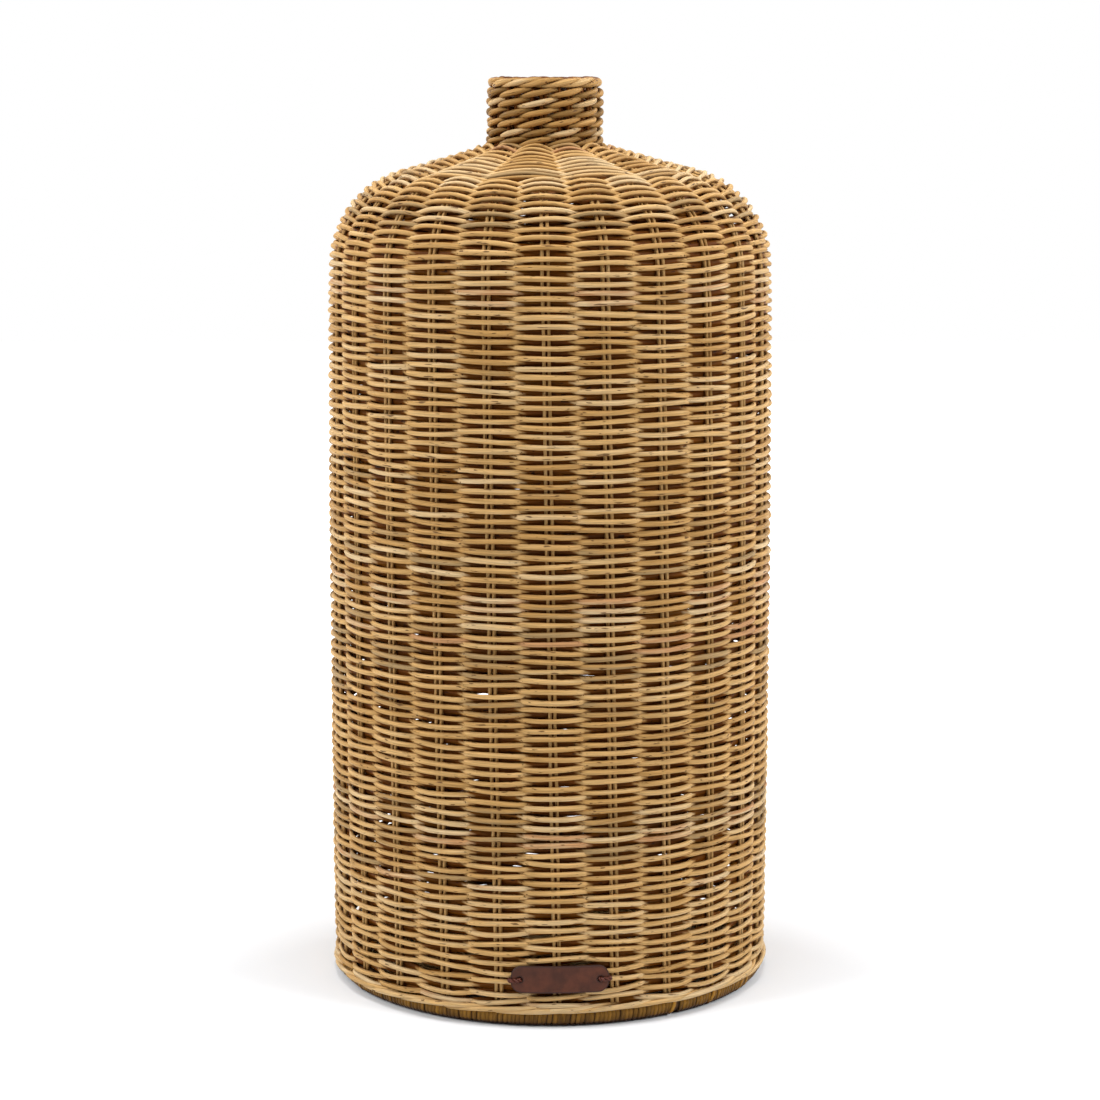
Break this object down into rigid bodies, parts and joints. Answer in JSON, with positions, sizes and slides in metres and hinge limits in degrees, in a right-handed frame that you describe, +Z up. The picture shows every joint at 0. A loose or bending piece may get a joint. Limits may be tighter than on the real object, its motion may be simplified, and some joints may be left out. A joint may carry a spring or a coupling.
{
  "type": "woven rattan vase",
  "caption": "Tall woven rattan bottle vase with a rounded shoulder, short twined neck, bound foot ring and a small leather label, for dried or artificial stems.",
  "frame": {"origin": "on the floor plane, under the middle of the body", "axes": "+Z up, the label's side faces -Y, +X to the right of it"},
  "size_m": [0.2524, 0.2547, 0.5128],
  "materials": {
    "straw_rattan": "bare round rattan core, satin, straw to honey tan",
    "stake_rattan": "bare thin round rattan core, satin, honey tan",
    "dark_cane": "bare thicker rattan core, satin, browner tan",
    "rattan_peel": "flat rattan peel, low sheen, olive brown",
    "brown_leather": "matt vegetable-tanned leather, dark reddish brown",
    "dark_thong": "twisted leather thong, nearly black brown"
  },
  "bodies": {
    "root": {"foot_hoop": "dark_cane", "hoop_binding": "rattan_peel", "base_weave": "straw_rattan", "bottom_wale": "straw_rattan", "side_weave_outer": "straw_rattan", "side_weave_inner": "straw_rattan", "shoulder_weave_outer": "straw_rattan", "shoulder_weave_inner": "straw_rattan", "crown_weave_outer": "straw_rattan", "crown_weave_inner": "straw_rattan", "neck_twining_outer": "dark_cane", "neck_twining_inner": "dark_cane", "rim_border": "dark_cane", "stake_01": "stake_rattan", "stake_02": "stake_rattan", "stake_03": "stake_rattan", "stake_04": "stake_rattan", "stake_05": "stake_rattan", "stake_06": "stake_rattan", "stake_07": "stake_rattan", "stake_08": "stake_rattan", "stake_09": "stake_rattan", "stake_10": "stake_rattan", "stake_11": "stake_rattan", "stake_12": "stake_rattan", "stake_13": "stake_rattan", "stake_14": "stake_rattan", "stake_15": "stake_rattan", "stake_16": "stake_rattan", "stake_17": "stake_rattan", "stake_18": "stake_rattan", "stake_19": "stake_rattan", "stake_20": "stake_rattan", "stake_21": "stake_rattan", "stake_22": "stake_rattan", "stake_23": "stake_rattan", "stake_24": "stake_rattan", "leather_label": "brown_leather", "label_thong_left": "dark_thong", "label_thong_right": "dark_thong"}
  },
  "joints": []
}
